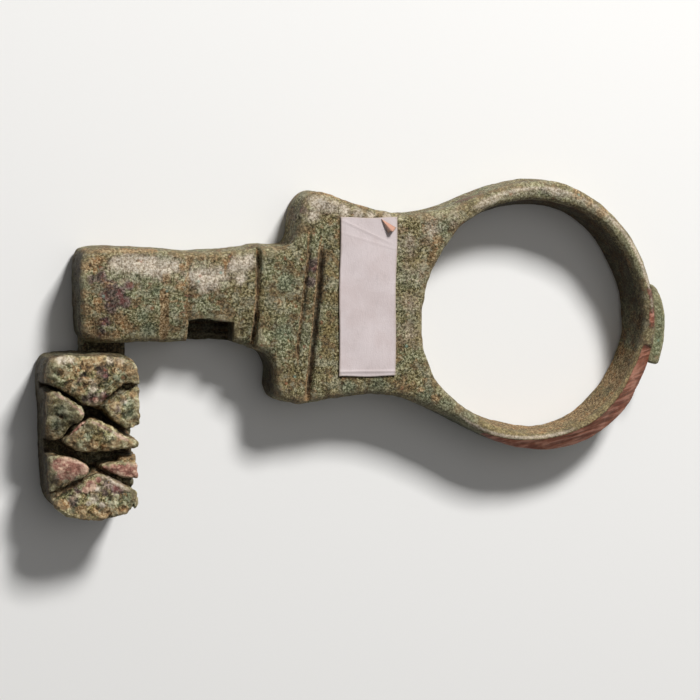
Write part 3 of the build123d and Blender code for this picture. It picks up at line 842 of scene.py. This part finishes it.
class Shader:
    """Builds a node material, one call for each step of the look."""

    def __init__(self, name):
        self.material = bpy.data.materials.new(name)
        self.material.use_nodes = True
        self.nodes = self.material.node_tree.nodes
        self.links = self.material.node_tree.links
        self.nodes.clear()
        self.surface = self.add("ShaderNodeBsdfPrincipled", {})
        self.add("ShaderNodeOutputMaterial", {"Surface": self.surface.outputs["BSDF"]})
        place = self.add("ShaderNodeTexCoord", {}).outputs["Object"]
        scale = self.add("ShaderNodeVectorMath", {0: place, "Scale": 1 / MM}, operation="SCALE")
        self.place = scale.outputs[0]  # in mm

    def put(self, node, inputs):
        """Sets or links a node's inputs."""
        for key, value in inputs.items():
            if isinstance(value, bpy.types.NodeSocket):
                self.links.new(value, node.inputs[key])
            else:
                node.inputs[key].default_value = value

    def add(self, kind, inputs, **settings):
        node = self.nodes.new(kind)
        for name, value in settings.items():
            setattr(node, name, value)
        self.put(node, inputs)
        return node

    def mark(self, name):
        return self.add("ShaderNodeAttribute", {}, attribute_name=name).outputs["Fac"]

    def moved(self, place, **by):
        return self.add("ShaderNodeMapping", {"Vector": place, **by}).outputs[0]

    def noise(self, size, detail=3.0, rough=0.55, twist=0.0, shift=(0, 0, 0), stretch=(1, 1, 1), turn=0.0):
        """Noise with features about this many mm across."""
        place = self.moved(self.place, Rotation=(0, 0, turn)) if turn else self.place
        place = self.moved(place, Location=shift, Scale=stretch)
        inputs = {"Vector": place, "Scale": 1.0 / size, "Detail": detail}
        inputs |= {"Roughness": rough, "Distortion": twist}
        return self.add("ShaderNodeTexNoise", inputs).outputs["Fac"]

    def cells(self, size, shift=(0, 0, 0)):
        inputs = {"Vector": self.moved(self.place, Location=shift), "Scale": 1.0 / size}
        return self.add("ShaderNodeTexVoronoi", inputs).outputs["Distance"]

    def math(self, operation, a, b, clamp=False):
        return self.add("ShaderNodeMath", {0: a, 1: b}, operation=operation, use_clamp=clamp).outputs[0]

    def plus(self, a, b):
        return self.math("ADD", a, b)

    def times(self, a, b):
        return self.math("MULTIPLY", a, b)

    def between(self, value, low, high, out_low=0.0, out_high=1.0):
        """value mapped smoothly from low..high to out_low..out_high."""
        inputs = {"Value": value, "From Min": low, "From Max": high, "To Min": out_low, "To Max": out_high}
        return self.add("ShaderNodeMapRange", inputs, interpolation_type="SMOOTHSTEP").outputs["Result"]

    def mix(self, share, a, b, mode="MIX"):
        inputs = {"Factor": share}
        for key, value in ((6, a), (7, b)):  # the colour inputs
            inputs[key] = (*value, 1.0) if isinstance(value, tuple) else value
        return self.add("ShaderNodeMix", inputs, data_type="RGBA", blend_type=mode).outputs[2]

    def ramp(self, value, stops):
        """A colour for each value, from (value, colour) stops."""
        node = self.add("ShaderNodeValToRGB", {"Fac": value})
        steps = node.color_ramp.elements
        while len(steps) < len(stops):
            steps.new(0.5)
        for step, (at, rgb) in zip(steps, stops):
            step.position = at
            step.color = (*rgb, 1.0)
        return node.outputs["Color"]

    def bump(self, height, depth_mm):
        inputs = {"Strength": 1.0, "Distance": depth_mm * MM, "Height": height}
        return self.add("ShaderNodeBump", inputs).outputs["Normal"]


def colour(r, g, b):
    """A colour given as it looks on screen, 0 to 255."""

    def light(c):
        c = c / 255
        return c / 12.92 if c <= 0.04045 else ((c + 0.055) / 1.055) ** 2.4

    return (light(r), light(g), light(b))


def bronze(
    name, shift=(0, 0, 0), bare_rgb=(142, 88, 68), strokes=True, crust_tone=1.0, contrast=1.28, coarse=0.0
):
    """Corroded bronze: a grainy green-grey crust, earth in its hollows, worn and bare places."""
    s = Shader(name)

    def shifted(x, y, z):
        return (shift[0] + x, shift[1] + y, shift[2] + z)

    def toned(*rgb):
        return colour(*(min(255, c * crust_tone) for c in rgb))

    def graded(value, stops, tone=colour):
        """A ramp whose stops are nearer the middle where the crust has more contrast."""
        return s.ramp(value, [(0.5 + (at - 0.5) / contrast, tone(*rgb)) for at, rgb in stops.items()])

    def laid(under, layers):
        """Colours laid one over the other: each value, its range, how much covers, and the colour."""
        for value, low, high, share, over in layers:
            under = s.mix(s.between(value, low, high, 0, share), under, over)
        return under

    broad = s.noise(4.6, 4, 0.6, 0.3, shift)
    middle = s.noise(1.4, 4, 0.62, 0.2, shifted(7, 0, 0))
    grain = s.noise(0.22, 5, 0.76, 0.0, shifted(0, 5, 0), (0.98, 0.94, 1.0))
    mottle = s.noise(1.0, 4, 0.62, 0.4, shifted(11, 6, 0))
    if coarse:
        facets = s.noise(0.62, 3, 0.6, 0.6, shifted(1, 3, 5))
        grain = s.plus(s.times(grain, 1 - coarse), s.times(facets, coarse))
    other = s.noise(0.25, 5, 0.76, 0.0, shifted(3, 0, 9))
    speck = s.noise(0.12, 2, 0.6, 0.0, shifted(0, 0, 4))
    pale = s.noise(1.1, 4, 0.62, 0.3, shifted(0, 9, 2))
    hollow = s.mark("hollow")
    wide_hollow = s.mark("wide_hollow")
    loose = s.times(s.plus(other, -0.5), 1.7)
    patchy = s.plus(loose, s.times(s.plus(middle, -0.5), 0.9))

    # The colours of each part of the look, from its darkest grains to its palest
    olives = {0.37: (37, 30, 12), 0.44: (81, 71, 37), 0.50: (119, 107, 64), 0.56: (156, 142, 97)}
    olives |= {0.63: (204, 192, 152)}
    greys = {0.37: (38, 39, 21), 0.44: (86, 86, 53), 0.50: (121, 120, 82), 0.56: (152, 151, 114)}
    greys |= {0.63: (202, 200, 168)}
    browns = {0.38: (44, 30, 17), 0.46: (90, 69, 42), 0.54: (134, 108, 70), 0.63: (178, 150, 108)}
    pales = {0.40: (104, 104, 78), 0.60: (204, 198, 168)}
    greens = {0.37: (44, 50, 32), 0.50: (104, 112, 82), 0.62: (180, 184, 154)}
    yellows = {0.37: (58, 46, 20), 0.50: (122, 103, 58), 0.62: (178, 158, 106)}
    stains = {0.37: (30, 22, 22), 0.50: (82, 64, 60), 0.62: (160, 136, 130)}
    worn = {0.37: (140, 123, 98), 0.50: (208, 191, 168), 0.61: (238, 226, 208)}
    earths = {0.38: (66, 46, 28), 0.45: (122, 94, 60), 0.54: (172, 140, 98), 0.63: (214, 190, 150)}
    stain_edge = s.plus(s.mark("stain"), patchy)
    crust = laid(graded(grain, olives, toned), [
        (broad, 0.40, 0.60, 1, graded(grain, greys, toned)),
        (middle, 0.49, 0.57, 0.85, graded(other, browns, toned)),
        (pale, 0.52, 0.60, 0.6, graded(grain, pales, toned)),
        (other, 0.60, 0.70, 0.5, toned(170, 146, 108)),
        (speck, 0.60, 0.70, 0.7, toned(38, 30, 18)),
        (speck, 0.39, 0.30, 0.65, toned(206, 194, 162)),
        (s.plus(s.mark("green"), patchy), 0.35, 0.80, 0.75, graded(grain, greens, toned)),
        (s.plus(s.mark("yellow"), patchy), 0.35, 0.85, 0.75, graded(grain, yellows, toned)),
        (stain_edge, 0.34, 0.72, 0.84, graded(grain, stains)),
    ])
    crimson = s.times(s.between(stain_edge, 0.7, 1.05), s.between(middle, 0.48, 0.56))
    crust = s.mix(s.times(crimson, 0.5), crust, colour(128, 62, 62))

    # Rubbed wear and painted highlights, in pale tones
    polish_and_highlight = s.between(s.plus(s.mark("polish_and_highlight"), s.times(patchy, 0.8)), 0.15, 0.95)
    crust = s.mix(s.times(polish_and_highlight, 0.92), crust, graded(grain, worn))

    in_hollows = s.between(hollow, 0.015, 0.06, 0, 0.62)
    earth = s.between(s.plus(s.math("MAXIMUM", s.mark("earth"), in_hollows), patchy), 0.37, 0.72)
    soil = laid(graded(grain, earths), [(mottle, 0.54, 0.66, 0.5, colour(166, 112, 66))])
    crust = s.mix(s.times(earth, 0.88), crust, soil)

    red = s.cells(1.9, (shift[0] + 3, shift[1] + 2, 0))
    red_spots = s.times(s.between(red, 0.15, 0.05), s.between(speck, 0.42, 0.55))
    crust = s.mix(s.times(red_spots, 0.7), crust, colour(158, 90, 62))
    blue = s.cells(2.6, (shift[0] - 5, shift[1] + 8, 0))
    crust = laid(crust, [(blue, 0.085, 0.03, 0.7, colour(136, 168, 152))])
    edge_light = s.between(s.plus(s.times(wide_hollow, -1.0), s.times(loose, 0.06)), 0.07, 0.17)
    crust = s.mix(s.times(edge_light, 0.22), crust, toned(190, 170, 132))
    shade = s.times(s.between(mottle, 0.34, 0.64, 0.70, 1.0), s.between(broad, 0.36, 0.6, 0.9, 1.0))
    crust = s.mix(1.0, crust, shade, "MULTIPLY")

    bare = s.between(s.plus(s.mark("bare"), s.times(patchy, 0.5)), 0.36, 0.66)
    height = s.plus(grain, s.times(speck, 0.3))
    if strokes:
        # File strokes: fine, nearly straight lines that run across the filed flat
        slant = math.radians(-13)
        lines = s.noise(0.33, 3, 0.6, 0.1, shift, (0.10, 1.0, 0.3), slant)
        broken = s.noise(1.2, 3, 0.6, 0.0, shifted(0, 2, 0), (0.6, 1.0, 1.0), slant)
        reds = {0.38: (122, 66, 50), 0.50: bare_rgb, 0.62: (172, 120, 100)}
        metal = laid(s.ramp(broken, [(at, colour(*rgb)) for at, rgb in reds.items()]), [
            (lines, 0.52, 0.62, 0.55, colour(84, 46, 36)),
            (lines, 0.46, 0.38, 0.5, colour(196, 142, 122)),
        ])
        height = s.mix(bare, height, s.times(lines, -0.5))
    else:
        veined = s.plus(s.times(middle, 0.6), s.times(other, 0.4))
        pinks = {0.40: (92, 44, 38), 0.49: bare_rgb, 0.58: (214, 182, 158)}
        metal = s.ramp(veined, [(at, colour(*rgb)) for at, rgb in pinks.items()])
        metal = laid(metal, [(grain, 0.40, 0.34, 0.5, colour(70, 38, 30))])
    crust = s.mix(s.times(bare, 0.92), crust, metal)

    # Painted shade darkens the deepest hollows and the marked walls turned from the light; a few marked
    # spots are real dark grime
    dirt_and_shade = s.math("MAXIMUM", s.between(wide_hollow, 0.14, 0.40, 0, 0.75), s.mark("dirt_and_shade"))
    crust = s.mix(dirt_and_shade, crust, s.mix(s.between(other, 0.4, 0.6), colour(22, 17, 11), colour(50, 40, 27)))

    rough = s.plus(s.between(grain, 0.36, 0.64, 0.55, 0.75), s.times(polish_and_highlight, -0.16))
    rough = s.plus(rough, s.times(bare, -0.06))
    s.put(s.surface, {
        "Base Color": crust,
        "Roughness": s.math("ADD", rough, s.times(earth, 0.2), clamp=True),
        "Metallic": s.times(bare, 0.2),
        "Specular IOR Level": s.plus(s.times(polish_and_highlight, 0.3), 0.3),
        "Normal": s.bump(height, 0.24),
    })
    return s.material


def paper(name, tone, stain, crease_tone):
    """Matt paper: cloudy, with fibres, paler or darker at its creases and painted shade, and soiled at its
    rim.
    """
    s = Shader(name)
    cloud = s.noise(2.6, 4, 0.6)
    fibre = s.noise(0.35, 4, 0.7, 0.6, (2, 5, 1), (1.0, 0.35, 1.0))
    tooth = s.noise(0.12, 3, 0.6)
    rim = s.plus(s.mark("rim"), s.times(s.plus(fibre, -0.5), 0.8))
    base = s.mix(s.between(cloud, 0.35, 0.7), colour(*tone), colour(*stain))
    base = s.mix(s.between(fibre, 0.52, 0.72, 0, 0.35), base, colour(*(int(c * 0.88) for c in tone)))
    base = s.mix(s.between(s.mark("crease"), 0.1, 0.9, 0, 0.5), base, colour(*crease_tone))
    base = s.mix(s.between(rim, 0.3, 0.9, 0, 0.5), base, colour(150, 132, 112))
    height = s.plus(s.times(fibre, 0.7), s.times(tooth, 0.5))
    s.put(s.surface, {"Base Color": base, "Roughness": 0.78, "Normal": s.bump(height, 0.035)})
    return s.material


# The paper label and its chip


def sheet_mesh(name, across, along, shape, thickness):
    """A thin sheet: shape gives a place in mm, and its crease, for each point of a unit square."""
    grid = bmesh.new()
    crease = grid.verts.layers.float.new("crease")
    rim = grid.verts.layers.float.new("rim")
    sides = []
    for depth in (0, thickness):
        rows = []
        for j in range(along + 1):
            row = []
            for i in range(across + 1):
                u, v = i / across, j / along
                (x, y, z), fold = shape(u, v)
                vert = grid.verts.new((x * MM, y * MM, (z - depth) * MM))
                vert[crease] = fold
                vert[rim] = math.exp(-min(u, 1 - u) * across / 1.2) + math.exp(-min(v, 1 - v) * along / 1.2)
                row.append(vert)
            rows.append(row)
        for j in range(along):
            for i in range(across):
                square = [rows[j][i], rows[j][i + 1], rows[j + 1][i + 1], rows[j + 1][i]]
                grid.faces.new(square[::-1] if depth else square)
        sides.append(rows)
    top, bottom = sides
    edge = [(0, i) for i in range(across)] + [(j, across) for j in range(along)]
    edge += [(along, i) for i in range(across, 0, -1)] + [(j, 0) for j in range(along, 0, -1)]
    for (j0, i0), (j1, i1) in zip(edge, edge[1:] + edge[:1]):
        grid.faces.new([top[j1][i1], top[j0][i0], bottom[j0][i0], bottom[j1][i1]])
    bmesh.ops.recalc_face_normals(grid, faces=grid.faces[:])
    mesh = bpy.data.meshes.new(name)
    grid.to_mesh(mesh)
    grid.free()
    mesh.polygons.foreach_set("use_smooth", [True] * len(mesh.polygons))
    return mesh


def label_shape(u, v):
    """The label's place and crease: folded across its lower end, creased on the slant above, and greyed
    towards its top as painted shade.
    """
    x = (u - 0.5) * 2 * LABEL_HALF[0]
    y = (v - 0.5) * 2 * LABEL_HALF[1]
    # The cut edges aren't quite straight
    x += 0.05 * math.sin(v * 9.0) * (abs(u - 0.5) * 2) ** 4
    y += 0.05 * math.sin(u * 7.0 + 1.0) * (abs(v - 0.5) * 2) ** 4
    fold = math.exp(-(((y + 7.35) / 0.09) ** 2))
    slant_a = 0.8 * math.exp(-(((y - 6.3 + 0.45 * x) / 0.08) ** 2)) * (0.5 + 0.5 * math.tanh(2 - x))
    slant_b = 0.5 * math.exp(-(((y - 5.5 + 0.30 * x) / 0.08) ** 2))
    # Painted shade: the label's upper half is greyed through the crease tone
    upper = 0.3 * max(0.0, y / LABEL_HALF[1])
    z = KEY_HEIGHT + 0.16
    z += 0.04 * math.sin(x * 1.1 + 0.6) * math.sin(y * 0.8)
    z += 0.07 * fold + 0.05 * slant_a + 0.04 * slant_b
    z += 0.12 * max(0.0, -x / LABEL_HALF[0] - 0.55) * max(0.0, -y / LABEL_HALF[1] - 0.4)
    turned_x = LABEL_MIDDLE[0] + x * math.cos(LABEL_TURN) - y * math.sin(LABEL_TURN)
    turned_y = LABEL_MIDDLE[1] + x * math.sin(LABEL_TURN) + y * math.cos(LABEL_TURN)
    return (turned_x, turned_y, z), max(fold, slant_a, slant_b, upper)


CHIP_TIP, CHIP_LOW, CHIP_RIGHT = (-15.75, 10.05), (-15.1, 8.65), (-14.25, 9.15)


def chip_shape(u, v):
    """A small torn flap, curled over, that widens from its tip."""
    width = v**0.8
    low = [a + (b - a) * width for a, b in zip(CHIP_TIP, CHIP_LOW)]
    right = [a + (b - a) * width for a, b in zip(CHIP_TIP, CHIP_RIGHT)]
    x, y = (a + (b - a) * u for a, b in zip(low, right))
    z = KEY_HEIGHT + 0.24 + 0.42 * width * math.sin(math.pi * min(1.0, u * 1.15)) ** 0.8 + 0.1 * v
    y += 0.06 * math.sin(u * 9) * width
    return (x, y, z), math.exp(-((u / 0.28) ** 2))


label_mesh = sheet_mesh("label", 40, 150, label_shape, 0.13)
chip_mesh = sheet_mesh("chip", 16, 12, chip_shape, 0.09)

# The pieces, and what each stands for


def add_object(name, data):
    obj = bpy.data.objects.new(name, data)
    bpy.context.scene.collection.objects.link(obj)
    return obj


body_bronze = bronze("patina_body")
bit_bronze = bronze(
    "patina_bit", (31, 12, 4), (160, 110, 96), strokes=False, crust_tone=1.08, contrast=1.75, coarse=0.5
)
lug_bronze = bronze("patina_lug", (-14, 22, 3), strokes=False, crust_tone=1.1, contrast=0.7)
label_paper = paper("paper_plain", (201, 189, 188), (192, 178, 176), (166, 152, 150))
chip_paper = paper("paper_curl", (176, 130, 110), (196, 150, 126), (226, 204, 190))

pieces = [
    ("ring_of_bow", parts["ring"], "bow_ring", "ring_bronze", body_bronze),
    ("plate_of_bow", parts["plate"], "bow_plate", "plate_bronze", body_bronze),
    ("notched_shank", parts["shank"], "shank", "shank_bronze", body_bronze),
    ("bridge_arm", arm_mesh, "bit_arm", "arm_bronze", bit_bronze),
    ("toothed_bit", bit_mesh, "bit_block", "bit_bronze", bit_bronze),
    ("applied_lug", lug_mesh, "ring_lug", "lug_bronze", lug_bronze),
    ("blank_label", label_mesh, "paper_label", "label_paper", label_paper),
    ("curled_chip", chip_mesh, "label_chip", "chip_paper", chip_paper),
]
for piece_name, mesh, node, slot, material in pieces:
    obj = add_object(piece_name, mesh)
    obj.data.materials.append(material)
    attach(obj, "root")
    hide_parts(node)

# Floor, lights and camera, in metres

FLOOR_Z = -0.00005
FLOOR_HALF = 2
LOOKED_AT = Vector((-17.3, -3.3, 0)) * MM
CAMERA_DIRECTION = Vector((-0.265, 0.085, 1.0))
CAMERA_DISTANCE = 0.35

floor_mesh = bpy.data.meshes.new("floor")
floor_corners = [(FLOOR_HALF * x, FLOOR_HALF * y, 0) for x, y in ((-1, -1), (1, -1), (1, 1), (-1, 1))]
floor_mesh.from_pydata(floor_corners, [], [(0, 1, 2, 3)])
floor = add_object("floor", floor_mesh)
floor.location = (0, 0, FLOOR_Z)
floor_look = Shader("pale_floor")
floor_look.put(floor_look.surface, {"Base Color": (0.78, 0.77, 0.75, 1), "Roughness": 0.8})
floor.data.materials.append(floor_look.material)

world = bpy.data.worlds.new("studio")
world.use_nodes = True
world.node_tree.nodes["Background"].inputs["Color"].default_value = (1, 1, 1, 1)
world.node_tree.nodes["Background"].inputs["Strength"].default_value = 0.14
bpy.context.scene.world = world


def softbox(name, direction, distance, size, power):
    data = bpy.data.lights.new(name, "AREA")
    data.shape = "SQUARE"
    data.size = size
    data.energy = power
    lamp = add_object(name, data)
    towards = Vector(direction).normalized()
    lamp.location = LOOKED_AT + towards * distance
    lamp.rotation_euler = (-towards).to_track_quat("-Z", "Y").to_euler()


softbox("key_light", (0.38, 0.85, 0.80), 0.5, 0.10, 3.35)
softbox("fill_light", (0.3, 0.2, 1.3), 0.6, 0.4, 0.3)

camera_data = bpy.data.cameras.new("camera")
camera_data.sensor_width = 36.0
camera_data.lens = 180.0
camera_data.clip_start = 0.01
camera = add_object("camera", camera_data)
away = CAMERA_DIRECTION.normalized()
right = (-away).cross(Vector((0, 1, 0))).normalized()
up = right.cross(-away)
turned = Matrix((right, up, away)).transposed().to_4x4()
camera.matrix_world = Matrix.Translation(LOOKED_AT + away * CAMERA_DISTANCE) @ turned
bpy.context.scene.camera = camera
bpy.context.scene.view_settings.view_transform = "Standard"
